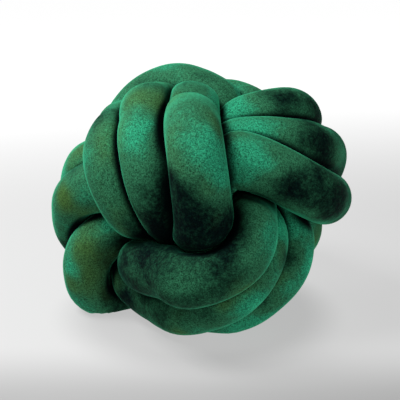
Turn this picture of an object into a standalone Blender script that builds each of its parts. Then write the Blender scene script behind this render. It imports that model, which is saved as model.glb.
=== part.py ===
"""Knot cushion: one long stuffed velvet tube, wound and drawn up into a ball.

The knot has three bands, each of three lanes. A band goes round the ball at right
angles to the other two, over one pair of faces and under the next pair, and the
two ends of the tube are tucked into the middle. The route is laid out in the
knot's own frame, in pitches: its axes are the normals of the ball's six faces.
"""
from collections import namedtuple
import math

import bmesh
import bpy
import numpy as np

# ---------------------------------------------------------------- driving sizes
PITCH = 0.043             # one lane to the next, centre to centre, in metres
TUBE_RADIUS = 0.56        # the stuffed tube before it is pressed, in pitches
GAP = 0.08                # left between two passes that press, in pitches: 3.4 mm
SECTIONS = 372            # cross-sections along the tube
SIDES = 12                # corners of a cross-section
CAP = 0.55                # length over which a tucked end closes, in pitches

# How the ball lies: the direction of the knot's frame that faces the front, the
# turn about it, and how far that side is tipped up from level.
FRONT = (0.454, -0.958, 1.329)
TURN_DEG = -13.6
TIP_DEG = 16.0
FRONT_TO_BACK = 0.88      # how much tighter the ball is drawn from front to back
FLAT_DEPTH = 0.014        # how far the ball's weight presses its underside flat

COLOUR = (0.020, 0.110, 0.075, 1.0)
ROUGHNESS = 0.85

# ---------------------------------------------------------------- the knot
# A fold is one pass over a face. Each row gives the places where the tube goes:
# under the band it crosses on its way to the face, and then over the face, where
# it rises, before and after its top, and where it falls. A place is the distance
# from the band's axis and the distance to the band's side, in pitches.
Fold = namedtuple("Fold", "name under rise before after fall")
STATIONS = (("rise", -55), ("before", -20), ("after", 20), ("fall", 55))  # degrees

# A band turns about its side, from its over direction to its under direction.
Band = namedtuple("Band", "over under side folds exit")

FRONT_BAND = Band(
    over=(0, 0, 1), under=(0, -1, 0), side=(1, 0, 0),
    folds=(
        Fold("front 1", None, (1.75, -0.65), (2.20, -0.50), (2.45, -0.60), (1.20, -0.35)),
        Fold("back 1", (1.00, -0.50), (1.05, -0.50), (1.90, -0.35), (2.90, -0.15), (2.45, -0.10)),
        Fold("front 2", (1.90, -0.20), (2.05, 0.20), (2.40, 0.35), (3.05, 0.30), (2.00, 0.00)),
        Fold("back 2", (2.00, -0.30), (1.85, -0.15), (2.60, 0.50), (2.80, 0.70), (2.55, 0.95)),
        Fold("front 3", (1.45, 0.60), (1.30, 0.60), (2.00, 1.10), (3.70, 1.55), (2.90, 0.70)),
        Fold("back 3", (1.90, 0.30), (1.55, 0.90), (2.15, 1.35), (2.90, 1.55), None),
    ),
    exit=((1.50, 1.20, -2.75), (0.80, 2.20, -2.60)),
)
UPPER_BAND = Band(
    over=(0, 1, 0), under=(-1, 0, 0), side=(0, 0, 1),
    folds=(
        Fold("top 1", None, None, (2.60, -2.45), (2.60, -1.60), (1.35, -0.80)),
        Fold("bottom 1", (1.25, -0.75), (1.60, -1.20), (2.20, -1.20), (2.60, -1.00), (2.15, -0.85)),
        Fold("top 2", (2.00, 0.05), (2.40, -0.15), (2.75, -0.45), (2.80, -0.55), (2.35, -0.60)),
        Fold("bottom 2", (2.20, -0.50), (2.25, -0.50), (2.65, -0.10), (2.95, 0.55), (1.45, 0.00)),
        Fold("top 3", (1.15, -0.15), (1.60, 0.40), (2.55, 0.60), (2.70, 0.45), (1.60, 0.15)),
        Fold("bottom 3", (1.30, 0.10), (1.30, -0.05), (2.25, 1.20), (3.15, 1.60), (1.75, 0.70)),
    ),
    exit=((1.20, -0.40, 0.80),),
)
LEVEL_BAND = Band(
    over=(-1, 0, 0), under=(0, 0, -1), side=(0, 1, 0),
    folds=(
        Fold("left 1", (1.05, 0.35), (1.45, 0.65), (2.20, 1.45), (2.95, 1.55), (2.25, 1.20)),
        Fold("right 1", (1.60, 1.20), (1.95, 1.20), (2.65, 1.10), (2.65, 0.45), (1.70, 0.20)),
        Fold("left 2", (1.85, 0.10), (2.10, 0.00), (2.65, 0.40), (2.95, 0.45), (3.00, 0.60)),
        Fold("right 2", (2.10, 0.10), (2.25, 0.05), (3.20, 0.25), (2.85, -0.50), (2.15, -0.50)),
        Fold("left 3", (1.10, -0.35), (1.15, -0.10), (2.20, -0.50), (3.15, -0.90), (2.25, -0.10)),
        Fold("right 3", (0.90, 0.85), (0.80, 1.05), (2.85, -0.75), (3.00, -1.70), None),
    ),
    exit=((2.10, -1.30, 2.05), (1.45, -1.20, 2.25), (1.05, -1.25, 1.65)),
)
BANDS = (FRONT_BAND, UPPER_BAND, LEVEL_BAND)
FIRST_END = ((-0.35, 0.55, 0.10), (-0.50, 1.20, 0.50))
LAST_END = ((0.40, -0.90, 0.45), (0.15, -0.25, 0.10))

# ---------------------------------------------------------------- drawing it up
ROUTE_STEP = 0.40         # spacing of the route's points while it is drawn up
ROUNDS = 80
SMOOTHING = 0.15          # how far a point goes to the middle of its neighbours
PUSH = 0.30               # how fast two passes closer than a pitch part
LONGEST_PUSH = 0.15
HOLD = 0.40               # how strongly a place of the table is kept
HOLD_REACH = 5            # points searched each way for the one at a place
HOLD_SPREAD = (0.41, 0.80, 1.0, 0.80, 0.41)
OWN_LENGTH = 2.2          # along the tube, closer points are the same pass
CORE = 1.2                # the middle of the ball, kept for the tucked ends
END_POINTS = 12           # points of each end that may lie in the core
EVEN_EVERY = 10           # rounds between two evenings-out of the spacing

# ---------------------------------------------------------------- pressing it
PRESS_SHARPNESS = 8       # how flat the pressed faces are
PRESS_REACH = 3.0         # in tube radii
INNER_BEND = 0.70         # share of a bend's radius that its inner side may fill
BEND_NEIGHBOURS = 2       # sections each way that a bend's tightest point counts for
SWELL = (0.90, 1.25)      # a pressed section keeps its area within these limits


def length_along(points):
    """Return the distance of each point along the route."""
    steps = np.linalg.norm(np.diff(points, axis=0), axis=1)
    return np.concatenate([[0.0], np.cumsum(steps)])


def evened(points, count):
    """Return count points at equal distances along a route."""
    along = length_along(points)
    wanted = np.linspace(0.0, along[-1], count)
    return np.stack([np.interp(wanted, along, points[:, axis]) for axis in range(3)], axis=1)


def smooth_curve(points, parts=12):
    """Return a curve through the points, as short chords (Catmull-Rom)."""
    before = 2 * points[0] - points[1]
    after = 2 * points[-1] - points[-2]
    ring = np.vstack([before, points, after])
    share = np.linspace(0.0, 1.0, parts, endpoint=False)[:, None]
    pieces = []
    for a, b, c, d in zip(ring, ring[1:], ring[2:], ring[3:]):
        linear = (c - a) * share
        square = (2 * a - 5 * b + 4 * c - d) * share ** 2
        cube = (3 * b - a - 3 * c + d) * share ** 3
        pieces.append(0.5 * (2 * b + linear + square + cube))
    pieces.append(points[-1:])
    return np.vstack(pieces)


def band_places(band):
    """Return the places that a band's folds pass, in the knot's frame."""
    over, under, side = (np.array(axis, float) for axis in (band.over, band.under, band.side))
    places = []
    for number, fold in enumerate(band.folds):
        facing = 1 - 2 * (number % 2)
        if fold.under:
            distance, aside = fold.under
            places.append(-facing * distance * under + aside * side)
        for station, degrees in STATIONS:
            place = getattr(fold, station)
            if place:
                distance, aside = place
                angle = math.radians(degrees)
                outward = facing * (math.cos(angle) * over + math.sin(angle) * under)
                places.append(distance * outward + aside * side)
    return places


def all_places():
    """Return every place of the route, from one tucked end to the other."""
    places = [np.array(place) for place in FIRST_END]
    for band in BANDS:
        places += band_places(band)
        places += [np.array(place) for place in band.exit]
    places += [np.array(place) for place in LAST_END]
    return np.array(places)


def nearest_in_order(route, places):
    """Return, for each place, the index of the route's point nearest to it."""
    indices = []
    start = 0
    for place in places:
        window = route[start:start + 20]
        start += int(np.linalg.norm(window - place, axis=1).argmin())
        indices.append(start)
    return indices


def parting_moves(route, own_points):
    """Return how each point moves away from other passes nearer than a pitch."""
    index = np.arange(len(route))
    other = np.abs(index[:, None] - index[None, :]) > own_points
    apart = route[:, None, :] - route[None, :, :]
    distance = np.sqrt((apart ** 2).sum(axis=2)) + 1e-9
    close = other & (distance < 1.0)
    strength = np.where(close, (1.0 - distance) / distance, 0.0)
    crowd = np.sqrt(np.maximum(close.sum(axis=1), 1))[:, None]
    moves = PUSH * (strength[:, :, None] * apart).sum(axis=1) / crowd
    moves[1:-1] = 0.5 * moves[1:-1] + 0.25 * (moves[:-2] + moves[2:])
    size = np.linalg.norm(moves, axis=1, keepdims=True) + 1e-9
    return moves * np.minimum(1.0, LONGEST_PUSH / size)


def holding_moves(route, held):
    """Return how the route's points move back to the places of the table."""
    moves = np.zeros_like(route)
    weights = np.zeros(len(route))
    half = len(HOLD_SPREAD) // 2
    for index, place in held:
        low = max(0, index - HOLD_REACH)
        high = index + HOLD_REACH + 1
        nearest = low + int(((route[low:high] - place) ** 2).sum(axis=1).argmin())
        for offset, weight in enumerate(HOLD_SPREAD, start=nearest - half):
            if 0 <= offset < len(route):
                moves[offset] += weight * (place - route[nearest])
                weights[offset] += weight
    return HOLD * moves / np.maximum(weights, 0.5)[:, None]


def drawn_up_route():
    """Return the tube's centre line once the passes have settled side by side."""
    places = all_places()
    curve = smooth_curve(places)
    count = int(round(length_along(curve)[-1] / ROUTE_STEP)) + 1
    route = evened(curve, count)
    held = list(zip(nearest_in_order(route, places), places))
    held = held[len(FIRST_END):-len(LAST_END)]
    for number in range(1, ROUNDS + 1):
        middles = 0.5 * (route[:-2] + route[2:])
        route[1:-1] += SMOOTHING * (middles - route[1:-1])
        own_points = int(round(OWN_LENGTH * (count - 1) / length_along(route)[-1]))
        route += parting_moves(route, own_points)
        inner = route[END_POINTS:-END_POINTS]
        radius = np.linalg.norm(inner, axis=1, keepdims=True)
        inner += 0.3 * inner / radius * np.clip(CORE - radius, 0.0, None)
        route += holding_moves(route, held)
        if number % EVEN_EVERY == 0:
            route = evened(route, count)
    towards = np.array(FRONT) / np.linalg.norm(FRONT)
    return route + (FRONT_TO_BACK - 1) * np.outer(route @ towards, towards)


def cross_axes(line):
    """Return two axes across the line at each point, carried along untwisted."""
    tangents = np.gradient(line, axis=0)
    tangents /= np.linalg.norm(tangents, axis=1, keepdims=True)
    across = np.empty_like(line)
    axis = np.array([0.3, 0.5, 0.8])
    for index, tangent in enumerate(tangents):
        axis = axis - tangent * (axis @ tangent)
        axis /= np.linalg.norm(axis)
        across[index] = axis
    return across, np.cross(tangents, across)


def room_around(line, spokes):
    """Return how far each spoke can reach before the next pass or its own bend."""
    step = np.linalg.norm(np.diff(line, axis=0), axis=1).mean()
    own_points = int(round((OWN_LENGTH + 0.2) / step))
    index = np.arange(len(line))
    room = np.full(spokes.shape[:2], np.inf)
    for number, centre in enumerate(line):
        apart = line - centre
        distance = np.linalg.norm(apart, axis=1)
        near = (np.abs(index - number) > own_points) & (distance < PRESS_REACH * TUBE_RADIUS)
        if near.any():
            towards = spokes[number] @ (apart[near] / distance[near, None]).T
            half_way = 0.5 * (distance[near] - GAP)
            reach = np.where(towards > 0.05, half_way / np.maximum(towards, 0.05), np.inf)
            room[number] = reach.min(axis=1)
    bend = np.zeros_like(line)
    bend[1:-1] = (line[:-2] - 2 * line[1:-1] + line[2:]) / step ** 2
    inward = (spokes * bend[:, None, :]).sum(axis=2)
    for _ in range(BEND_NEIGHBOURS):
        inward[1:-1] = np.maximum(inward[1:-1], np.maximum(inward[:-2], inward[2:]))
    return np.minimum(room, INNER_BEND / np.maximum(inward, 1e-3))


def pressed_radii(room, step):
    """Return the tube's radius along each spoke, flattened where it is pressed."""
    count, sides = room.shape
    swell = np.ones(count)
    wanted = math.pi * TUBE_RADIUS ** 2
    wedge = 0.5 * math.sin(2 * math.pi / sides)
    for _ in range(4):
        free = (TUBE_RADIUS * swell)[:, None]
        radii = (free ** -PRESS_SHARPNESS + room ** -PRESS_SHARPNESS) ** (-1 / PRESS_SHARPNESS)
        area = wedge * (radii * np.roll(radii, -1, axis=1)).sum(axis=1)
        swell = np.clip(swell * np.sqrt(wanted / area), *SWELL)
        for _ in range(6):
            swell[1:-1] = 0.5 * swell[1:-1] + 0.25 * (swell[:-2] + swell[2:])
    free = (TUBE_RADIUS * swell)[:, None]
    radii = (free ** -PRESS_SHARPNESS + room ** -PRESS_SHARPNESS) ** (-1 / PRESS_SHARPNESS)
    from_end = np.minimum(np.arange(count), np.arange(count)[::-1]) * step + 0.25 * step
    closing = np.sqrt(1 - (1 - np.clip(from_end / CAP, 0.0, 1.0)) ** 2)
    return radii * closing[:, None]


def resting_turn():
    """Return the rotation from the knot's frame to the resting ball's."""
    towards = np.array(FRONT) / np.linalg.norm(FRONT)
    right = np.cross((0.0, 1.0, 0.0), towards)
    right /= np.linalg.norm(right)
    up = np.cross(towards, right)
    turn = math.radians(TURN_DEG)
    right, up = (
        math.cos(turn) * right + math.sin(turn) * up,
        math.cos(turn) * up - math.sin(turn) * right,
    )
    tip = math.radians(TIP_DEG)
    top = math.cos(tip) * up + math.sin(tip) * towards
    return np.stack([right, np.cross(top, right), top])


def tube_rings():
    """Return the corners of every cross-section, in metres, resting on z = 0."""
    line = evened(smooth_curve(drawn_up_route(), parts=6), SECTIONS)
    across, along_side = cross_axes(line)
    angles = np.linspace(0.0, 2 * math.pi, SIDES, endpoint=False)[None, :, None]
    spokes = across[:, None, :] * np.cos(angles) + along_side[:, None, :] * np.sin(angles)
    step = length_along(line)[-1] / (SECTIONS - 1)
    radii = pressed_radii(room_around(line, spokes), step)
    rings = line[:, None, :] + spokes * radii[:, :, None]
    rings = PITCH * rings @ resting_turn().T
    low = rings.reshape(-1, 3).min(axis=0)
    high = rings.reshape(-1, 3).max(axis=0)
    rings -= ((low[0] + high[0]) / 2, (low[1] + high[1]) / 2, low[2] + FLAT_DEPTH)
    rings[:, :, 2] = np.maximum(rings[:, :, 2], 0.0)
    return rings


def tube_mesh(rings):
    """Return a closed mesh with its skin bridged from ring to ring."""
    mesh = bmesh.new()
    loops = [[mesh.verts.new(corner) for corner in ring] for ring in rings]
    for near, far in zip(loops, loops[1:]):
        for side in range(SIDES):
            after = (side + 1) % SIDES
            mesh.faces.new((near[side], near[after], far[after], far[side]))
    mesh.faces.new(loops[0][::-1])
    mesh.faces.new(loops[-1])
    bmesh.ops.recalc_face_normals(mesh, faces=mesh.faces)
    bmesh.ops.triangulate(mesh, faces=mesh.faces)
    return mesh


def velvet():
    """Return the cloth's material."""
    material = bpy.data.materials.new("velvet")
    material.use_nodes = True
    shader = material.node_tree.nodes["Principled BSDF"]
    shader.inputs["Base Color"].default_value = COLOUR
    shader.inputs["Roughness"].default_value = ROUGHNESS
    shader.inputs["Metallic"].default_value = 0.0
    return material


def build():
    """Make the cushion's one object."""
    for item in list(bpy.data.objects):
        bpy.data.objects.remove(item, do_unlink=True)
    shape = tube_mesh(tube_rings())
    mesh = bpy.data.meshes.new("knot_tube")
    shape.to_mesh(mesh)
    shape.free()
    mesh.shade_smooth()
    mesh.materials.append(velvet())
    tube = bpy.data.objects.new("knot_tube", mesh)
    bpy.context.collection.objects.link(tube)


build()
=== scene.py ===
"""The looks of the knot cushion: its velvet tube in full detail, floor, lights and camera.

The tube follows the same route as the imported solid, pass by pass, and is drawn here
with a fine skin, the soft dents of its filling and the puckers inside its tight bends.
"""

from collections import namedtuple
import math

import bpy
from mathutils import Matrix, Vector, noise
import numpy as np

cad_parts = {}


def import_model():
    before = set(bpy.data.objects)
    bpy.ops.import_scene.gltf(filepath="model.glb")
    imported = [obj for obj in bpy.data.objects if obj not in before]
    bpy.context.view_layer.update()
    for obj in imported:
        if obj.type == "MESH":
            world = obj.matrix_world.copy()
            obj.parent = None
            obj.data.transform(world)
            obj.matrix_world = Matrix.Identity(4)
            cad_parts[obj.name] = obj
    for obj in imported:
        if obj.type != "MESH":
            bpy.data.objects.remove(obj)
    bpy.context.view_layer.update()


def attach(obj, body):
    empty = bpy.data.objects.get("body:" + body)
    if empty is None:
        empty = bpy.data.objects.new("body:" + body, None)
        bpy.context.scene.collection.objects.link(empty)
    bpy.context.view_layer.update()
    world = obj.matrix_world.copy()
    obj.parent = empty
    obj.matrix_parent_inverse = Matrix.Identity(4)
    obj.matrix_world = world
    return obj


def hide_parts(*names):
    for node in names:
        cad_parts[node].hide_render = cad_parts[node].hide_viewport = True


# ---------------------------------------------------------------- driving sizes
PITCH = 0.043             # one lane to the next, centre to centre, in metres
TUBE_RADIUS = 0.56        # the stuffed tube before it is pressed, in pitches
GAP = 0.012               # left between two passes that press, in pitches
SECTIONS = 1400           # cross-sections along the tube
SIDES = 60                # corners of a cross-section
CAP = 0.55                # length over which a tucked end closes, in pitches
END_FLAT = 0.25           # how far before its very end it is cut flat, in sections

# How the ball lies: the direction of the knot's frame that faces the front, the
# turn about it, and how far that side is tipped up from level.
FRONT = (0.454, -0.958, 1.329)
TURN_DEG = -13.6
TIP_DEG = 16.0
FRONT_TO_BACK = 0.88      # how much tighter the ball is drawn from front to back
FLAT_DEPTH = 0.014        # how far the ball's weight presses its underside flat

# ---------------------------------------------------------------- the knot
# A fold is one pass over a face. Each row gives the places where the tube goes:
# under the band it crosses on its way to the face, and then over the face, where
# it rises, before and after its top, and where it falls. A place is the distance
# from the band's axis and the distance to the band's side, in pitches. The stations'
# angles are in degrees from the middle of the face.
Fold = namedtuple("Fold", "name under rise before after fall")
STATIONS = (("under", -90), ("rise", -55), ("before", -20), ("after", 20), ("fall", 55))

# A band turns about its side, from its over direction to its under direction.
Band = namedtuple("Band", "over under side folds exit")

FRONT_BAND = Band(
    over=(0, 0, 1), under=(0, -1, 0), side=(1, 0, 0),
    folds=(
        Fold("front 1", None, (1.75, -0.65), (2.20, -0.50), (2.45, -0.60), (1.20, -0.35)),
        Fold("back 1", (1.00, -0.50), (1.05, -0.50), (1.90, -0.35), (2.90, -0.15), (2.45, -0.10)),
        Fold("front 2", (1.90, -0.20), (2.05, 0.20), (2.40, 0.35), (3.05, 0.30), (2.00, 0.00)),
        Fold("back 2", (2.00, -0.30), (1.85, -0.15), (2.60, 0.50), (2.80, 0.70), (2.55, 0.95)),
        Fold("front 3", (1.45, 0.60), (1.30, 0.60), (2.00, 1.10), (3.70, 1.55), (2.90, 0.70)),
        Fold("back 3", (1.90, 0.30), (1.55, 0.90), (2.15, 1.35), (2.90, 1.55), None),
    ),
    exit=((1.50, 1.20, -2.75), (0.80, 2.20, -2.60)),
)
UPPER_BAND = Band(
    over=(0, 1, 0), under=(-1, 0, 0), side=(0, 0, 1),
    folds=(
        Fold("top 1", None, None, (2.60, -2.45), (2.60, -1.60), (1.35, -0.80)),
        Fold("bottom 1", (1.25, -0.75), (1.60, -1.20), (2.20, -1.20), (2.60, -1.00), (2.15, -0.85)),
        Fold("top 2", (2.00, 0.05), (2.40, -0.15), (2.75, -0.45), (2.80, -0.55), (2.35, -0.60)),
        Fold("bottom 2", (2.20, -0.50), (2.25, -0.50), (2.65, -0.10), (2.95, 0.55), (1.45, 0.00)),
        Fold("top 3", (1.15, -0.15), (1.60, 0.40), (2.55, 0.60), (2.70, 0.45), (1.60, 0.15)),
        Fold("bottom 3", (1.30, 0.10), (1.30, -0.05), (2.25, 1.20), (3.15, 1.60), (1.75, 0.70)),
    ),
    exit=((1.20, -0.40, 0.80),),
)
LEVEL_BAND = Band(
    over=(-1, 0, 0), under=(0, 0, -1), side=(0, 1, 0),
    folds=(
        Fold("left 1", (1.05, 0.35), (1.45, 0.65), (2.20, 1.45), (2.95, 1.55), (2.25, 1.20)),
        Fold("right 1", (1.60, 1.20), (1.95, 1.20), (2.65, 1.10), (2.65, 0.45), (1.70, 0.20)),
        Fold("left 2", (1.85, 0.10), (2.10, 0.00), (2.65, 0.40), (2.95, 0.45), (3.00, 0.60)),
        Fold("right 2", (2.10, 0.10), (2.25, 0.05), (3.20, 0.25), (2.85, -0.50), (2.15, -0.50)),
        Fold("left 3", (1.10, -0.35), (1.15, -0.10), (2.20, -0.50), (3.15, -0.90), (2.25, -0.10)),
        Fold("right 3", (0.90, 0.85), (0.80, 1.05), (2.85, -0.75), (3.00, -1.70), None),
    ),
    exit=((2.10, -1.30, 2.05), (1.45, -1.20, 2.25), (1.05, -1.25, 1.65)),
)
BANDS = (FRONT_BAND, UPPER_BAND, LEVEL_BAND)
FIRST_END = ((-0.35, 0.55, 0.10), (-0.50, 1.20, 0.50))
LAST_END = ((0.40, -0.90, 0.45), (0.15, -0.25, 0.10))

# ---------------------------------------------------------------- drawing it up
ROUTE_STEP = 0.40         # spacing of the route's points while it is drawn up
ROUNDS = 80
SMOOTHING = 0.15          # how far a point goes to the middle of its neighbours
PUSH = 0.30               # how fast two passes closer than a pitch part
LONGEST_PUSH = 0.15       # in one round, in pitches
HOLD = 0.40               # how strongly a place of the table is kept
HOLD_REACH = 5            # points searched each way for the one at a place
HOLD_SPREAD = (0.41, 0.80, 1.0, 0.80, 0.41)  # for that point and its neighbours
LEAST_HOLD = 0.5          # a point held more weakly than this moves less
OWN_LENGTH = 2.2          # along the tube, closer points are the same pass
CORE = 1.2                # the middle of the ball, kept for the tucked ends
CORE_PUSH = 0.3           # how fast a pass leaves it
END_POINTS = 12           # points of each end that may lie in the core
EVEN_EVERY = 10           # rounds between two evenings-out of the spacing
SEARCH_AHEAD = 20         # points of the route searched for the next place
ROUTE_CHORDS = 12         # chords from one place of the table to the next
LINE_CHORDS = 6           # chords from one point of the drawn-up route to the next
FIRST_AXIS = (0.3, 0.5, 0.8)  # any direction but the one the tube's first end points in
TINY = 1e-9               # keeps a length from being nought where it divides

# ---------------------------------------------------------------- pressing it
PRESS_SHARPNESS = 8       # how flat the pressed faces are
PRESS_REACH = 3.0         # how far away a pass may be to press, in tube radii
PRESS_AIM = 0.05          # cosine at which a spoke counts as pointing at a pass
PRESS_OWN = 0.2           # added to OWN_LENGTH, so that a pass doesn't press on itself
INNER_BEND = 0.80         # share of a bend's radius that its inner side may fill
BEND_SPAN = 0.39          # chord over which a bend is measured, in pitches
BEND_SPREAD = 0.6         # along the tube, how far a bend's tightest point counts for
BEND_EVENING = 0.2        # along the tube, over which that then evens out
LEAST_BEND = 1e-3         # per pitch; a bend as slight as this sets no limit
SWELL = (0.90, 1.25)      # a pressed section keeps its area within these limits
SWELL_SPREAD = 0.67       # along the tube, over which the swelling evens out
SWELL_ROUNDS = 4          # how many times the swelling is worked out

# ---------------------------------------------------------------- cloth
# Smooth unevenness: how strong it is, the size of its swells, and a shift that makes
# one differ from another.
Uneven = namedtuple("Uneven", "strength size shift")

# Lengths are in metres, but a room is in tube radii: it is the way from the tube's
# middle to the next pass.
LUMPS = Uneven(0.0011, 0.045, 3.1)        # the filling's, by how far they stand out
LUMP_ROOM = (0.95, 1.50)  # the least room for any lumps, and the room for whole ones
PUCKER = 0.0022           # depth of the puckers inside tight bends
PUCKER_LENGTH = 0.015     # along the tube, from one pucker to the next
PUCKER_BEND = (0.22, 0.60)  # share of a bend's radius the tube fills as puckers form
PUCKER_SHAPE = 0.6        # below 1, for sharp valleys between broad backs
PUCKER_WANDER = Uneven(2.2, 0.020, 7.3)   # in radians of the wave they make
CREASE_ROOM = (0.95, 1.65)  # where the painted shade of a crease is darkest, and where it has faded out
PUCKER_SHADE = 0.75        # how dark the painted shade in a pucker's valley is, with a crease as 1

# The pile away from the patches is brushed unevenly too, in sizes of BRUSHED_LENGTH
# along the tube and of the tube's radius round it.
BRUSHED_LENGTH = 0.075
BRUSHED_SCALE = 0.9
BROAD_PILE = Uneven(1.3, 1.0, 0.0)
FINE_PILE = Uneven(0.5, 0.45, 5.7)
BROAD_TINT = Uneven(1.4, 1.2, 11.9)
RAGGED = Uneven(0.45, 0.022, 17.3)        # the edge of a patch, as a share of its reach
PATCH_FADE = 1.5          # how fast a patch fades away from its middle

# Patches of the pile: where it is brushed up bright (1, and up to 1.8 as painted light where little
# lamp light falls) or lies dark (-1 and below), and how mossy it looks (up to 1). Besides the
# pile's own brushing, many of them are painted highlight and painted shade: bright where light
# catches a pass, dark where a pass sinks into a pit, beside a crease and where it turns from the
# light. A patch lies where the skin is nearest to its place: over a fold's outer side at an angle,
# and aside from the tube's middle in pitches. Its reach is in metres. Where two patches meet, the
# later one lies over the earlier.
Patch = namedtuple("Patch", "fold degrees aside reach pile tint")
PILE_AND_LIGHT_PATCHES = (
    Patch("front 3", -3, -0.1, 0.028, -0.2, 0.7),
    Patch("front 3", 14, -0.1, 0.026, 0.4, 0.2),
    Patch("front 3", 24, 0.4, 0.026, 1.0, 0.0),
    Patch("front 3", 30, -0.5, 0.030, -1.3, 0.2),
    Patch("front 3", 40, -0.1, 0.032, -1.2, 0.0),
    Patch("front 3", 33, 0.7, 0.024, 1.2, 0.0),
    Patch("front 3", 48, 0.1, 0.036, -1.3, 0.0),
    Patch("front 3", 46, 0.7, 0.026, -1.0, 0.0),
    Patch("front 3", 60, 0.1, 0.040, -1.3, 0.0),
    Patch("front 2", -22, 0.3, 0.028, -0.5, 0.2),
    Patch("front 2", 5, -0.5, 0.028, 0.6, 0.7),
    Patch("front 2", 12, 0.3, 0.028, 1.0, 0.0),
    Patch("front 2", 34, 0.0, 0.034, -0.9, 0.1),
    Patch("front 2", 46, 0.0, 0.036, -1.3, 0.0),
    Patch("front 2", 16, 0.6, 0.018, -0.8, 0.0),
    Patch("front 2", 30, 0.5, 0.022, -1.0, 0.0),
    Patch("front 1", 4, -0.4, 0.030, 0.8, 0.2),
    Patch("front 1", 20, 0.0, 0.030, 0.4, 0.3),
    Patch("front 1", 44, 0.1, 0.034, -1.3, 0.0),
    Patch("front 1", 60, 0.0, 0.036, -1.3, 0.0),
    Patch("front 1", 14, 0.6, 0.020, -0.8, 0.0),
    Patch("front 1", 30, 0.5, 0.022, -0.9, 0.0),
    Patch("left 1", -15, 0.0, 0.030, 0.7, 0.1),
    Patch("left 2", -20, 0.2, 0.026, 0.7, 0.2),
    Patch("left 2", -42, -0.1, 0.028, 0.0, 1.0),
    Patch("left 3", -18, 0.3, 0.022, 0.9, 0.1),
    Patch("left 3", -26, -0.6, 0.020, 0.1, 0.9),
    Patch("left 3", -46, -0.7, 0.024, 1.0, 0.0),
    Patch("left 3", -4, -0.4, 0.020, 0.2, 0.7),
    Patch("left 3", 8, -0.6, 0.026, 0.7, 0.1),
    Patch("left 3", 32, -0.2, 0.030, -1.2, 0.0),
    Patch("top 3", 22, 0.0, 0.032, -0.3, 0.4),
    Patch("top 3", -10, 0.0, 0.032, 0.9, 0.0),
    Patch("top 3", -32, 0.0, 0.026, 0.4, 0.5),
    Patch("right 1", 40, 0.0, 0.028, 1.1, 0.0),
    Patch("right 1", 22, 0.0, 0.026, -1.1, 0.0),
    Patch("right 1", 4, 0.0, 0.036, -1.0, 0.0),
    Patch("right 1", -18, 0.0, 0.034, -0.9, 0.0),
    Patch("right 2", 42, 0.0, 0.030, 0.9, 0.1),
    Patch("right 2", 12, -0.3, 0.036, -0.9, 0.0),
    Patch("right 2", -14, 0.0, 0.034, -0.7, 0.0),
    Patch("right 3", 50, 0.0, 0.034, 1.0, 0.1),
    Patch("right 3", 26, -0.9, 0.036, -1.1, 0.0),
    Patch("right 3", 37, -1.0, 0.026, -1.0, 0.0),
    Patch("right 3", 4, -1.0, 0.034, -1.1, 0.0),
    Patch("right 3", 10, -0.4, 0.040, -0.9, 0.0),
    Patch("right 3", -16, -0.2, 0.044, -0.8, 0.0),
    Patch("right 3", -40, 0.0, 0.044, -0.6, 0.0),
    Patch("bottom 3", 50, 0.0, 0.030, 1.8, 0.1),
    Patch("bottom 3", 32, 0.0, 0.030, 1.7, 0.2),
    Patch("bottom 3", 19, -0.3, 0.026, 0.2, 1.0),
    Patch("bottom 3", 7, -0.4, 0.026, 0.1, 0.9),
    Patch("bottom 3", -4, -0.3, 0.028, -0.1, 0.3),
    Patch("bottom 3", -30, 0.4, 0.034, -1.1, 0.0),
    Patch("bottom 3", -40, 0.2, 0.034, -1.4, 0.0),
    Patch("bottom 3", 10, 1.5, 0.032, -0.9, 0.0),
    Patch("bottom 3", -14, 1.4, 0.050, -0.95, 0.0),
    Patch("bottom 3", 3, 0.6, 0.024, -0.25, 0.0),
    Patch("bottom 2", 42, -0.1, 0.032, 1.8, 0.0),
    Patch("bottom 2", 15, -0.1, 0.030, 1.4, 0.1),
    Patch("bottom 2", -18, 0.0, 0.032, 0.1, 0.9),
    Patch("bottom 2", 25, 0.5, 0.018, -0.7, 0.0),
    Patch("bottom 2", 0, 0.5, 0.022, -0.5, 0.0),
    Patch("bottom 2", -25, 0.5, 0.026, -0.6, 0.0),
    Patch("bottom 2", -50, 0.0, 0.036, -1.2, 0.0),
    Patch("bottom 1", 42, -0.2, 0.032, 1.6, 0.0),
    Patch("bottom 1", 10, -0.2, 0.034, 1.4, 0.0),
    Patch("bottom 1", 38, 0.5, 0.020, -0.8, 0.0),
    Patch("bottom 1", 16, 0.5, 0.018, -0.7, 0.0),
)


def length_along(points):
    """Return the distance of each point along the route."""
    steps = np.linalg.norm(np.diff(points, axis=0), axis=1)
    return np.concatenate([[0.0], np.cumsum(steps)])


def evened(points, count):
    """Return count points at equal distances along a route."""
    along = length_along(points)
    wanted = np.linspace(0.0, along[-1], count)
    return np.stack([np.interp(wanted, along, points[:, axis]) for axis in range(3)], axis=1)


def smooth_curve(points, chords):
    """Return a smooth curve through the points, with so many chords to each span."""
    before = 2 * points[0] - points[1]
    after = 2 * points[-1] - points[-2]
    ring = np.vstack([before, points, after])
    share = np.linspace(0.0, 1.0, chords, endpoint=False)[:, None]
    pieces = []
    for a, b, c, d in zip(ring, ring[1:], ring[2:], ring[3:]):
        linear = (c - a) * share
        square = (2 * a - 5 * b + 4 * c - d) * share ** 2
        cube = (3 * b - a - 3 * c + d) * share ** 3
        pieces.append(0.5 * (2 * b + linear + square + cube))
    pieces.append(points[-1:])
    return np.vstack(pieces)


def band_place(band, number, degrees, distance, aside):
    """Return a place at an angle over a fold's face, in the knot's frame.

    A band's folds lie by turns on its one side and on the other.
    """
    over, under, side = (np.array(axis, float) for axis in (band.over, band.under, band.side))
    facing = 1 - 2 * (number % 2)
    angle = math.radians(degrees)
    outward = facing * (math.cos(angle) * over + math.sin(angle) * under)
    return distance * outward + aside * side


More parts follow.
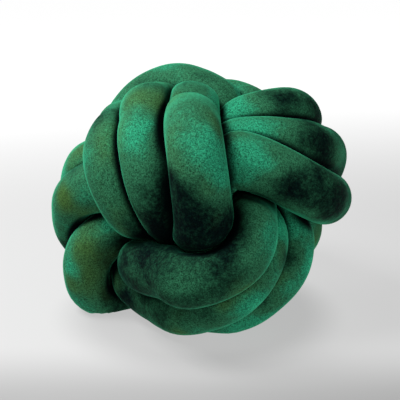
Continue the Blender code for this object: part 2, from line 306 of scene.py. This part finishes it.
def band_places(band):
    """Return the places that a band's folds pass, in the knot's frame."""
    places = []
    for number, fold in enumerate(band.folds):
        for station, degrees in STATIONS:
            place = getattr(fold, station)
            if place:
                places.append(band_place(band, number, degrees, *place))
    return places


def all_places():
    """Return every place of the route, from one tucked end to the other."""
    places = [np.array(place) for place in FIRST_END]
    for band in BANDS:
        places += band_places(band)
        places += [np.array(place) for place in band.exit]
    places += [np.array(place) for place in LAST_END]
    return np.array(places)


def nearest_in_order(route, places):
    """Return, for each place, the index of the route's point nearest to it."""
    indices = []
    start = 0
    for place in places:
        window = route[start:start + SEARCH_AHEAD]
        start += int(np.linalg.norm(window - place, axis=1).argmin())
        indices.append(start)
    return indices


def parting_moves(route, own_points):
    """Return how each point moves away from other passes nearer than a pitch."""
    index = np.arange(len(route))
    other = np.abs(index[:, None] - index[None, :]) > own_points
    apart = route[:, None, :] - route[None, :, :]
    distance = np.sqrt((apart ** 2).sum(axis=2)) + TINY
    close = other & (distance < 1.0)
    strength = np.where(close, (1.0 - distance) / distance, 0.0)
    crowd = np.sqrt(np.maximum(close.sum(axis=1), 1))[:, None]
    moves = PUSH * (strength[:, :, None] * apart).sum(axis=1) / crowd
    moves[1:-1] = 0.5 * moves[1:-1] + 0.25 * (moves[:-2] + moves[2:])
    size = np.linalg.norm(moves, axis=1, keepdims=True) + TINY
    return moves * np.minimum(1.0, LONGEST_PUSH / size)


def holding_moves(route, held):
    """Return how the route's points move back to the places of the table."""
    moves = np.zeros_like(route)
    weights = np.zeros(len(route))
    half = len(HOLD_SPREAD) // 2
    for index, place in held:
        low = max(0, index - HOLD_REACH)
        high = index + HOLD_REACH + 1
        nearest = low + int(((route[low:high] - place) ** 2).sum(axis=1).argmin())
        for offset, weight in enumerate(HOLD_SPREAD, start=nearest - half):
            if 0 <= offset < len(route):
                moves[offset] += weight * (place - route[nearest])
                weights[offset] += weight
    return HOLD * moves / np.maximum(weights, LEAST_HOLD)[:, None]


def tightened(points):
    """Return points of the knot's frame, drawn tighter from front to back."""
    towards = np.array(FRONT) / np.linalg.norm(FRONT)
    return points + (FRONT_TO_BACK - 1) * np.outer(points @ towards, towards)


def drawn_up_route():
    """Return the tube's centre line once the passes have settled side by side."""
    places = all_places()
    curve = smooth_curve(places, ROUTE_CHORDS)
    count = int(round(length_along(curve)[-1] / ROUTE_STEP)) + 1
    route = evened(curve, count)
    held = list(zip(nearest_in_order(route, places), places))
    held = held[len(FIRST_END):-len(LAST_END)]
    for number in range(1, ROUNDS + 1):
        middles = 0.5 * (route[:-2] + route[2:])
        route[1:-1] += SMOOTHING * (middles - route[1:-1])
        own_points = int(round(OWN_LENGTH * (count - 1) / length_along(route)[-1]))
        route += parting_moves(route, own_points)
        inner = route[END_POINTS:-END_POINTS]
        radius = np.linalg.norm(inner, axis=1, keepdims=True)
        inner += CORE_PUSH * inner / radius * np.clip(CORE - radius, 0.0, None)
        route += holding_moves(route, held)
        if number % EVEN_EVERY == 0:
            route = evened(route, count)
    return tightened(route)


def cross_axes(line):
    """Return two axes across the line at each point, carried along untwisted."""
    tangents = np.gradient(line, axis=0)
    tangents /= np.linalg.norm(tangents, axis=1, keepdims=True)
    across = np.empty_like(line)
    axis = np.array(FIRST_AXIS)
    for index, tangent in enumerate(tangents):
        axis = axis - tangent * (axis @ tangent)
        axis /= np.linalg.norm(axis)
        across[index] = axis
    return across, np.cross(tangents, across)


def resting_turn():
    """Return the rotation from the knot's frame to the resting ball's."""
    towards = np.array(FRONT) / np.linalg.norm(FRONT)
    right = np.cross((0.0, 1.0, 0.0), towards)
    right /= np.linalg.norm(right)
    up = np.cross(towards, right)
    turn = math.radians(TURN_DEG)
    right, up = (
        math.cos(turn) * right + math.sin(turn) * up,
        math.cos(turn) * up - math.sin(turn) * right,
    )
    tip = math.radians(TIP_DEG)
    top = math.cos(tip) * up + math.sin(tip) * towards
    return np.stack([right, np.cross(top, right), top])


def evened_out(values, spread, step):
    """Return values smoothed along the tube over about the given spread."""
    passes = max(1, int(round(2 * (spread / step) ** 2)))
    values = values.copy()
    for _ in range(passes):
        values[1:-1] = 0.5 * values[1:-1] + 0.25 * (values[:-2] + values[2:])
    return values


def bend_towards(line, spokes):
    """Return how sharply the tube bends towards each spoke, per pitch."""
    step = np.linalg.norm(np.diff(line, axis=0), axis=1).mean()
    half = max(1, int(round(BEND_SPAN / step)))
    bend = np.zeros_like(line)
    bend[half:-half] = line[:-2 * half] - 2 * line[half:-half] + line[2 * half:]
    bend /= (half * step) ** 2
    return (spokes * bend[:, None, :]).sum(axis=2)


def room_around(line, spokes, inward):
    """Return how far each spoke can reach before the next pass or its own bend."""
    step = np.linalg.norm(np.diff(line, axis=0), axis=1).mean()
    own_points = int(round((OWN_LENGTH + PRESS_OWN) / step))
    index = np.arange(len(line))
    room = np.full(spokes.shape[:2], np.inf)
    for number, centre in enumerate(line):
        apart = line - centre
        distance = np.linalg.norm(apart, axis=1)
        near = (np.abs(index - number) > own_points) & (distance < PRESS_REACH * TUBE_RADIUS)
        if near.any():
            towards = spokes[number] @ (apart[near] / distance[near, None]).T
            half_way = 0.5 * (distance[near] - GAP)
            reach = half_way / np.maximum(towards, PRESS_AIM)
            reach = np.where(towards > PRESS_AIM, reach, np.inf)
            room[number] = reach.min(axis=1)
    tightest = inward.copy()
    for _ in range(int(round(BEND_SPREAD / step))):
        tightest[1:-1] = np.maximum(tightest[1:-1], np.maximum(tightest[:-2], tightest[2:]))
    tightest = evened_out(tightest, BEND_EVENING, step)
    return room, INNER_BEND / np.maximum(tightest, LEAST_BEND)


def lesser(free, room):
    """Return the lesser of two radii, with a rounded change from one to the other."""
    return (free ** -PRESS_SHARPNESS + room ** -PRESS_SHARPNESS) ** (-1 / PRESS_SHARPNESS)


def pressed_radii(room, step):
    """Return the tube's radius along each spoke, flattened where it is pressed."""
    count, sides = room.shape
    swell = np.ones(count)
    wanted = math.pi * TUBE_RADIUS ** 2
    wedge = 0.5 * math.sin(2 * math.pi / sides)
    for _ in range(SWELL_ROUNDS):
        radii = lesser(TUBE_RADIUS * swell[:, None], room)
        area = wedge * (radii * np.roll(radii, -1, axis=1)).sum(axis=1)
        swell = np.clip(swell * np.sqrt(wanted / area), *SWELL)
        swell = evened_out(swell, SWELL_SPREAD, step)
    radii = lesser(TUBE_RADIUS * swell[:, None], room)
    from_end = np.minimum(np.arange(count), np.arange(count)[::-1]) * step + END_FLAT * step
    closing = np.sqrt(1 - (1 - np.clip(from_end / CAP, 0.0, 1.0)) ** 2)
    return radii * closing[:, None]


def smoothstep(values, low, high):
    """Return 0 below low and 1 above high, with a soft change between."""
    share = np.clip((values - low) / (high - low), 0.0, 1.0)
    return share * share * (3 - 2 * share)


def unevenness(points, kind):
    """Return a smooth unevenness at each point, about as much up as down."""
    flat = points.reshape(-1, 3) / kind.size + kind.shift
    values = np.array([noise.noise(Vector(place)) for place in flat])
    return kind.strength * values.reshape(points.shape[:-1])


def patch_places():
    """Return the place of each patch in metres: on the outer skin of its fold."""
    places = []
    rows = {fold.name: (band, number, fold)
            for band in BANDS for number, fold in enumerate(band.folds)}
    for patch in PILE_AND_LIGHT_PATCHES:
        band, number, fold = rows[patch.fold]
        stations = [(degrees, *getattr(fold, station))
                    for station, degrees in STATIONS if getattr(fold, station)]
        degrees, distances, sides = zip(*stations)
        distance = np.interp(patch.degrees, degrees, distances) + TUBE_RADIUS
        aside = np.interp(patch.degrees, degrees, sides) + patch.aside
        places.append(band_place(band, number, patch.degrees, distance, aside))
    return PITCH * tightened(np.array(places)) @ resting_turn().T


def puckers(skin, along, bend):
    """Return how far the skin sinks in between puckers, from 0 to -1.

    They run across the tube on the inner side of its tight bends.
    """
    phase = 2 * math.pi * along / PUCKER_LENGTH + unevenness(skin, PUCKER_WANDER)
    tight = smoothstep(bend, *PUCKER_BEND)
    return tight * np.abs(np.sin(0.5 * phase)) ** PUCKER_SHAPE - tight


def brushing_and_painted_light(rings, along, angles, centre):
    """Return how the velvet is brushed and how mossy it looks all over the skin, with the patches'
    painted highlight and painted shade laid over it.
    """
    around = BRUSHED_SCALE * np.stack(np.broadcast_arrays(
        along / BRUSHED_LENGTH, np.cos(angles), np.sin(angles)), axis=2)
    pile = unevenness(around, BROAD_PILE) + unevenness(around, FINE_PILE)
    tint = unevenness(around, BROAD_TINT)
    ragged = 1 + unevenness(rings, RAGGED)
    skin = rings.reshape(-1, 3)
    # The patches lay painted highlight and painted shade over the pile's own brushing.
    for patch, place in zip(PILE_AND_LIGHT_PATCHES, patch_places() + centre):
        middle = skin[np.linalg.norm(skin - place, axis=1).argmin()]
        away = ragged * np.linalg.norm((rings - middle) / patch.reach, axis=2)
        share = np.exp(-PATCH_FADE * away ** 2)
        pile += share * (patch.pile - pile)
        tint += share * (patch.tint - tint)
    return pile, tint


def tube_shape():
    """Return the rings of the tube's skin in metres, its surface shares and the knot's centre."""
    line = evened(smooth_curve(drawn_up_route(), LINE_CHORDS), SECTIONS)
    step = length_along(line)[-1] / (SECTIONS - 1)
    angles = np.linspace(0.0, 2 * math.pi, SIDES, endpoint=False)[None, :]
    across, along_side = (axes[:, None, :] for axes in cross_axes(line))
    spokes = across * np.cos(angles)[:, :, None] + along_side * np.sin(angles)[:, :, None]
    inward = bend_towards(line, spokes)
    neighbour_room, bend_room = room_around(line, spokes, inward)
    radii = pressed_radii(np.minimum(neighbour_room, bend_room), step)

    # The filling's lumps show only where nothing presses on the cloth.
    room = neighbour_room / TUBE_RADIUS
    along = PITCH * length_along(line)[:, None]
    skin = PITCH * (line[:, None, :] + spokes * radii[:, :, None])
    pucker = puckers(skin, along, inward * radii)
    lumps = smoothstep(room, *LUMP_ROOM) * unevenness(skin, LUMPS)
    moved = radii + (PUCKER * pucker + lumps) / PITCH
    rings = PITCH * (line[:, None, :] + spokes * moved[:, :, None]) @ resting_turn().T

    # The ball stands over the origin, and its weight presses its underside flat.
    low = rings.min(axis=(0, 1))
    high = rings.max(axis=(0, 1))
    centre = -np.array(((low[0] + high[0]) / 2, (low[1] + high[1]) / 2, low[2] + FLAT_DEPTH))
    rings += centre
    rings[:, :, 2] = np.maximum(rings[:, :, 2], 0.0)

    # Painted shade: a mask that darkens the creases between passes and the puckers' valleys.
    crease_shade = np.maximum(1 - smoothstep(room, *CREASE_ROOM), -PUCKER_SHADE * pucker)
    pile, tint = brushing_and_painted_light(rings, along, angles, centre)
    return rings, {"crease_shade": crease_shade, "pile": pile, "tint": tint}, centre


def tube_object(rings, shares):
    """Return the velvet tube as one closed mesh object."""
    count, sides = rings.shape[:2]
    corner = np.arange(count * sides).reshape(count, sides)
    near, far = corner[:-1], corner[1:]
    faces = np.stack([near, np.roll(near, -1, axis=1), np.roll(far, -1, axis=1), far], axis=2)
    faces = faces.reshape(-1, 4).tolist()
    faces.append(corner[0][::-1].tolist())
    faces.append(corner[-1].tolist())
    mesh = bpy.data.meshes.new("velvet_tube")
    mesh.from_pydata(rings.reshape(-1, 3).tolist(), [], faces)
    for name, values in shares.items():
        attribute = mesh.attributes.new(name, "FLOAT", "POINT")
        attribute.data.foreach_set("value", values.astype(np.float32).ravel())
    mesh.shade_smooth()
    mesh.validate()
    tube = bpy.data.objects.new("velvet_tube", mesh)
    bpy.context.collection.objects.link(tube)
    return tube


# ---------------------------------------------------------------- materials
# A soft ramp: where it starts and ends, and what it goes from and to.
Ramp = namedtuple("Ramp", "low high to_low to_high", defaults=(0.0, 1.0))
# A fine noise: its scale is in swells to a metre.
Grain = namedtuple("Grain", "scale detail roughness distortion", defaults=(0.0,))

PAINTED_CREASE_SHADE = (0.0006, 0.0030, 0.0034, 1.0)     # painted shade in the creases and in the puckers' valleys
DARK_PILE_AND_SHADE = (0.0006, 0.0045, 0.0045, 1.0)      # the pile lying away, and painted shade in pits and beside creases
EMERALD = (0.0220, 0.1220, 0.0590, 1.0)   # the pile upright
TEAL = (0.0200, 0.2400, 0.1260, 1.0)      # the pile brushed up, and painted highlight in the bright patches
PAINTED_LIGHT_TEAL = (0.0320, 0.4200, 0.2200, 1.0)    # painted light: the brushed-up pile made brighter where little lamp light falls
MOSS = (0.0480, 0.1080, 0.0210, 1.0)      # the pile's mossy tinges
PAINTED_EDGE_SHEEN = (0.0400, 0.4200, 0.2200, 1.0)      # painted sheen at the edge of a pass, laid into the colour

# The share of the colour named last: by how the pile is brushed and where highlight and shade are
# painted on it, by how mossy it looks and by how deep in the painted shade of a crease it lies.
DEEP_TO_EMERALD = Ramp(-1.15, 0.05)
EMERALD_TO_TEAL = Ramp(0.05, 1.00)
TEAL_TO_PAINTED_LIGHT = Ramp(1.00, 1.80)
TO_MOSS = Ramp(0.10, 0.95, 0.0, 0.82)
TO_PAINTED_CREASE_SHADE = Ramp(0.15, 0.80)

HAIRS = Grain(260.0, 3.0, 0.65)           # the hairy edges of a patch
MOTTLES = Grain(34.0, 3.0, 0.55, 0.4)     # uneven brushing inside a patch
GRAIN = Grain(900.0, 2.0, 0.6)            # the finest grain of the pile
SPECKS = Grain(420.0, 2.0, 0.6)           # tufts that catch more light or less

# What the pile, its tone and its roughness get from them.
PILE_IN_HAIRS = Ramp(0.25, 0.75, -0.16, 0.16)
PILE_IN_MOTTLES = Ramp(0.30, 0.70, -0.16, 0.16)
TONE_IN_GRAIN = Ramp(0.30, 0.70, 0.50, 1.50)
TONE_IN_SPECKS = Ramp(0.30, 0.70, -0.22, 0.22)
ROUGHNESS_IN_SPECKS = Ramp(0.30, 0.70, 0.65, 0.90)

# How much of the painted sheen at the edge of a pass shows.
SHEEN_EDGE_ON = Ramp(0.62, 1.00)
SHEEN_IN_CREASE = Ramp(0.30, 1.00, 0.70, 0.35)
SHEEN_IN_SPECKS = Ramp(0.30, 0.70, 0.60, 1.30)
SHEEN_ON_PILE = Ramp(-1.00, 0.40, 0.15, 1.05)

GRAIN_RELIEF = 0.5        # with the specks' relief as 1
RELIEF = {"Strength": 0.45, "Distance": 0.0008}
VELVET_FINISH = {
    "Specular IOR Level": 0.02,
    "Sheen Weight": 0.10,
    "Sheen Roughness": 0.15,
    "Sheen Tint": (0.08, 0.85, 0.42, 1.0),
}

# The floor's own glow is painted light, as the floor is no lamp. It changes with the distance in
# metres along X or Y, and close to the cushion, as a painted shadow, with the distance from the
# origin.
FLOOR_HALF = 20.0         # half the floor's width
GLOW_NEAR = Ramp(-0.20, -0.08, 0.38, 0.66)     # less near the viewer
GLOW_FAR = Ramp(0.30, 1.60)                    # more far behind the cushion
GLOW_FAR_GAIN = 0.26
GLOW_RIGHT_LOSS = Ramp(-0.15, 0.35, 0.0, 0.10)  # less to the right
GLOW_RIGHT_FADE = Ramp(0.10, 1.20, 1.0, 0.0)   # but not far behind
PAINTED_SHADOW_BY_CUSHION = Ramp(0.105, 0.158, 0.76, 1.0)  # painted shadow: less glow under the cushion
# Painted shade: the floor's colour is darker near the viewer than far behind.
FLOOR_NEAR = (0.11, 0.11, 0.11, 1.0)
FLOOR_FAR = (0.30, 0.30, 0.30, 1.0)
FLOOR_FINISH = {
    "Roughness": 0.9,
    "Specular IOR Level": 0.1,
    "Emission Color": (1.0, 1.0, 1.0, 1.0),
}


class Nodes:
    """A short way to add and link the nodes of one material."""

    def __init__(self, name):
        self.material = bpy.data.materials.new(name)
        self.material.use_nodes = True
        self.tree = self.material.node_tree
        self.shader = self.tree.nodes["Principled BSDF"]

    def fill(self, node, inputs):
        """Set a node's inputs to plain values, or link them to other nodes."""
        for name, value in inputs.items():
            if isinstance(value, bpy.types.NodeSocket):
                self.tree.links.new(value, node.inputs[name])
            else:
                node.inputs[name].default_value = value

    def add(self, kind, inputs=None, **settings):
        """Return a new node with its settings and inputs."""
        node = self.tree.nodes.new(kind)
        for name, value in settings.items():
            setattr(node, name, value)
        self.fill(node, inputs or {})
        return node

    def noise(self, place, grain):
        """Return noise of the given grain."""
        node = self.add("ShaderNodeTexNoise", {
            "Vector": place, "Scale": grain.scale, "Detail": grain.detail,
            "Roughness": grain.roughness, "Distortion": grain.distortion,
        })
        return node.outputs["Fac"]

    def ramp(self, value, ramp):
        """Return the value sent through a soft ramp."""
        node = self.add("ShaderNodeMapRange", {
            "Value": value, "From Min": ramp.low, "From Max": ramp.high,
            "To Min": ramp.to_low, "To Max": ramp.to_high,
        }, interpolation_type="SMOOTHSTEP")
        return node.outputs["Result"]

    def math(self, operation, first, *others):
        """Return the sum, product and so on of the values, taken in turn."""
        for other in others:
            node = self.add("ShaderNodeMath", {0: first, 1: other}, operation=operation)
            first = node.outputs["Value"]
        return first

    def mix(self, share, first, second, blend="MIX"):
        """Return two colours mixed."""
        node = self.add("ShaderNodeMix", data_type="RGBA", blend_type=blend)
        wanted = {"Factor_Float": share, "A_Color": first, "B_Color": second}
        self.fill(node, {
            index: wanted[socket.identifier]
            for index, socket in enumerate(node.inputs) if socket.identifier in wanted
        })
        return next(out for out in node.outputs if out.identifier == "Result_Color")


def velvet():
    """Return crushed velvet: brushed patches with painted highlight and shade, fine grain, painted
    shade in the creases, a painted sheen at the edges and a soft real sheen.
    """
    nodes = Nodes("emerald_velvet")
    place = nodes.add("ShaderNodeTexCoord").outputs["Object"]
    crease_shade, pile, tint = (
        nodes.add("ShaderNodeAttribute", attribute_name=name).outputs["Fac"]
        for name in ("crease_shade", "pile", "tint")
    )
    hairs, mottles, grain, specks = (
        nodes.noise(place, kind) for kind in (HAIRS, MOTTLES, GRAIN, SPECKS)
    )

    # The pile lies one way or the other in brushed patches with hairy edges; the patches also carry
    # painted highlight and painted shade.
    pile = nodes.math(
        "ADD", pile, nodes.ramp(hairs, PILE_IN_HAIRS), nodes.ramp(mottles, PILE_IN_MOTTLES))
    colour = nodes.mix(nodes.ramp(pile, DEEP_TO_EMERALD), DARK_PILE_AND_SHADE, EMERALD)
    colour = nodes.mix(nodes.ramp(pile, EMERALD_TO_TEAL), colour, TEAL)
    colour = nodes.mix(nodes.ramp(pile, TEAL_TO_PAINTED_LIGHT), colour, PAINTED_LIGHT_TEAL)
    colour = nodes.mix(nodes.ramp(tint, TO_MOSS), colour, MOSS)

    tone = nodes.math("ADD", nodes.ramp(grain, TONE_IN_GRAIN), nodes.ramp(specks, TONE_IN_SPECKS))
    grey = nodes.add("ShaderNodeCombineColor", {0: tone, 1: tone, 2: tone}).outputs["Color"]
    colour = nodes.mix(1.0, colour, grey, "MULTIPLY")
    # Painted shade: the colour goes near black in the creases and the pucker valleys.
    colour = nodes.mix(nodes.ramp(crease_shade, TO_PAINTED_CREASE_SHADE), colour, PAINTED_CREASE_SHADE)

    # Painted sheen: the colour is painted brighter at the edge of a pass, where velvet's pile seen
    # end-on shines.
    facing = nodes.add("ShaderNodeLayerWeight", {"Blend": 0.5}).outputs["Facing"]
    sheen = nodes.math(
        "MULTIPLY", nodes.ramp(facing, SHEEN_EDGE_ON), nodes.ramp(crease_shade, SHEEN_IN_CREASE),
        nodes.ramp(specks, SHEEN_IN_SPECKS), nodes.ramp(pile, SHEEN_ON_PILE))

    height = nodes.math("ADD", nodes.math("MULTIPLY", grain, GRAIN_RELIEF), specks)
    bump = nodes.add("ShaderNodeBump", {"Height": height, **RELIEF})
    nodes.fill(nodes.shader, {
        "Base Color": nodes.mix(sheen, colour, PAINTED_EDGE_SHEEN),
        "Roughness": nodes.ramp(specks, ROUGHNESS_IN_SPECKS),
        "Normal": bump.outputs["Normal"],
        **VELVET_FINISH,
    })
    return nodes.material


def pale_floor():
    """Return the floor's material, pale and glowing as painted light.

    It glows less near the viewer, to the right and close to the cushion, where the dip is a painted
    shadow, and its colour is painted darker near the viewer.
    """
    nodes = Nodes("floor")
    place = nodes.add("ShaderNodeTexCoord").outputs["Object"]
    parts = nodes.add("ShaderNodeSeparateXYZ", {"Vector": place})
    right, back = parts.outputs["X"], parts.outputs["Y"]
    apart = nodes.add("ShaderNodeVectorMath", {0: place}, operation="LENGTH").outputs["Value"]
    far = nodes.ramp(back, GLOW_FAR)
    gain = nodes.math("MULTIPLY", far, GLOW_FAR_GAIN)
    loss = nodes.math(
        "MULTIPLY", nodes.ramp(right, GLOW_RIGHT_LOSS), nodes.ramp(back, GLOW_RIGHT_FADE))
    glow = nodes.math("SUBTRACT", nodes.math("ADD", nodes.ramp(back, GLOW_NEAR), gain), loss)
    nodes.fill(nodes.shader, {
        "Base Color": nodes.mix(far, FLOOR_NEAR, FLOOR_FAR),
        "Emission Strength": nodes.math("MULTIPLY", glow, nodes.ramp(apart, PAINTED_SHADOW_BY_CUSHION)),
        **FLOOR_FINISH,
    })
    return nodes.material


def floor_object():
    """Return the pale floor."""
    mesh = bpy.data.meshes.new("floor")
    corners = ((-1, -1), (1, -1), (1, 1), (-1, 1))
    mesh.from_pydata(
        [(FLOOR_HALF * x, FLOOR_HALF * y, 0.0) for x, y in corners], [], [(0, 1, 2, 3)])
    mesh.materials.append(pale_floor())
    floor = bpy.data.objects.new("floor", mesh)
    bpy.context.collection.objects.link(floor)
    return floor


# ---------------------------------------------------------------- light and camera
Lamp = namedtuple("Lamp", "name place watts size")
LAMPS = (
    Lamp("key", (-0.8, -0.4, 1.5), 31.0, 0.6),
    Lamp("low", (-0.3, -1.6, 0.6), 1.5, 0.9),
    Lamp("fill", (0.9, -1.0, 0.35), 5.0, 0.8),
    Lamp("rim", (-1.1, 0.7, 0.8), 10.0, 0.6),
)
LAMP_AIM = (0.0, 0.0, 0.12)  # where every lamp points, in metres
WORLD_LIGHT = 0.22
WHITE = (1.0, 1.0, 1.0, 1.0)
CAMERA_DISTANCE = 0.90    # from the knot's centre, in metres
SENSOR_WIDTH = 36.0       # in millimetres
VIEW_WIDTH = 400          # in pixels
FOCAL_LENGTH = 891        # in pixels of that view
SHIFT = (0.0246, -0.0073)


def pointed(thing, place, target):
    """Put a lamp or camera at a place, looking at the target."""
    thing.location = Vector(place)
    look = Vector(target) - Vector(place)
    thing.rotation_euler = look.to_track_quat("-Z", "Y").to_euler()
    bpy.context.collection.objects.link(thing)


def light():
    """Add the soft studio lights and the even light all round."""
    for lamp in LAMPS:
        data = bpy.data.lights.new(lamp.name, "AREA")
        data.energy = lamp.watts
        data.size = lamp.size
        pointed(bpy.data.objects.new(lamp.name, data), lamp.place, LAMP_AIM)
    world = bpy.data.worlds.new("studio")
    world.use_nodes = True
    background = world.node_tree.nodes["Background"]
    background.inputs["Color"].default_value = WHITE
    background.inputs["Strength"].default_value = WORLD_LIGHT
    bpy.context.scene.world = world


def camera_on(centre):
    """Add the camera, which looks at the knot's centre."""
    data = bpy.data.cameras.new("camera")
    data.sensor_width = SENSOR_WIDTH
    data.lens = FOCAL_LENGTH / VIEW_WIDTH * SENSOR_WIDTH
    data.shift_x, data.shift_y = SHIFT
    data.dof.use_dof = False
    camera = bpy.data.objects.new("camera", data)
    tip = math.radians(TIP_DEG)
    back_and_up = Vector((0.0, -math.cos(tip), math.sin(tip)))
    pointed(camera, Vector(centre) + CAMERA_DISTANCE * back_and_up, centre)
    bpy.context.scene.camera = camera
    bpy.context.scene.view_settings.view_transform = "Standard"


def build():
    """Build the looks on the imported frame."""
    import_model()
    rings, shares, centre = tube_shape()
    tube = tube_object(rings, shares)
    tube.data.materials.append(velvet())
    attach(tube, "root")
    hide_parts("knot_tube")
    floor_object()
    light()
    camera_on(centre)


build()
